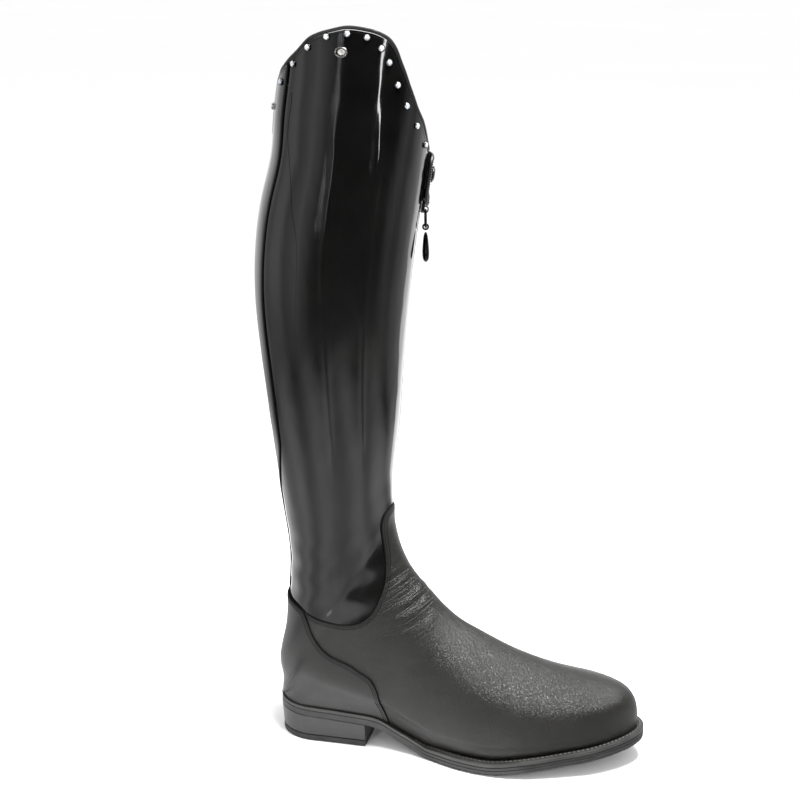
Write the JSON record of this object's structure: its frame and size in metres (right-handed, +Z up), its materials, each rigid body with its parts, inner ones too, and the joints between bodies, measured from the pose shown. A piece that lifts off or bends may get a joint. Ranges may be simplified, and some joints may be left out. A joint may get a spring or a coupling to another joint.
{
  "type": "dress riding boot",
  "caption": "Tall black dress riding boot for the right foot: glossy leg with a high curved outer top line, stud trim, front zip, satin foot, welted sole and low heel.",
  "frame": {"origin": "on the floor under the middle of the heel", "axes": "+X to the toe, +Y to the inner side of the foot, +Z up along the leg"},
  "size_m": [0.2962, 0.1097, 0.5533],
  "materials": {
    "sole_rubber": "matte",
    "welt_leather": "satin",
    "heel_leather": "satin",
    "lining_leather": "matte",
    "foot_leather": "satin, fine grain",
    "counter_leather": "satin",
    "shaft_leather": "high gloss",
    "binding_leather": "satin",
    "zip_cloth": "woven",
    "zip_metal": "dark nickel",
    "puller_metal": "dark nickel",
    "badge_metal": "polished",
    "stud_crystal": "faceted"
  },
  "bodies": {
    "boot": {"outsole": "sole_rubber", "welt": "welt_leather", "insole": "lining_leather", "heel_block": "heel_leather", "top_piece": "sole_rubber", "vamp_upper": "foot_leather", "counter": "counter_leather", "shaft": "shaft_leather", "back_strip": "shaft_leather", "collar_binding": "binding_leather", "zip_tape": "zip_cloth", "zip_teeth": "zip_metal", "zip_slider": "zip_metal", "snap_tab": "binding_leather", "snap_button": "puller_metal", "badge": "badge_metal", "stud_01": "stud_crystal", "stud_02": "stud_crystal", "stud_03": "stud_crystal", "stud_04": "stud_crystal", "stud_05": "stud_crystal", "stud_06": "stud_crystal", "stud_07": "stud_crystal", "stud_08": "stud_crystal", "stud_09": "stud_crystal", "stud_10": "stud_crystal", "stud_11": "stud_crystal", "stud_12": "stud_crystal", "stud_13": "stud_crystal"},
    "pull": {"pull_link": "zip_metal", "pull_drop": "puller_metal"}
  },
  "joints": [
    {"name": "pull_swing", "type": "hinge", "parent": "boot", "child": "pull", "pos_m": [0.0786, 0.01692, 0.41849], "axis": [0.3111, -0.9504, -0.0028], "range_deg": [0, 140]}
  ]
}
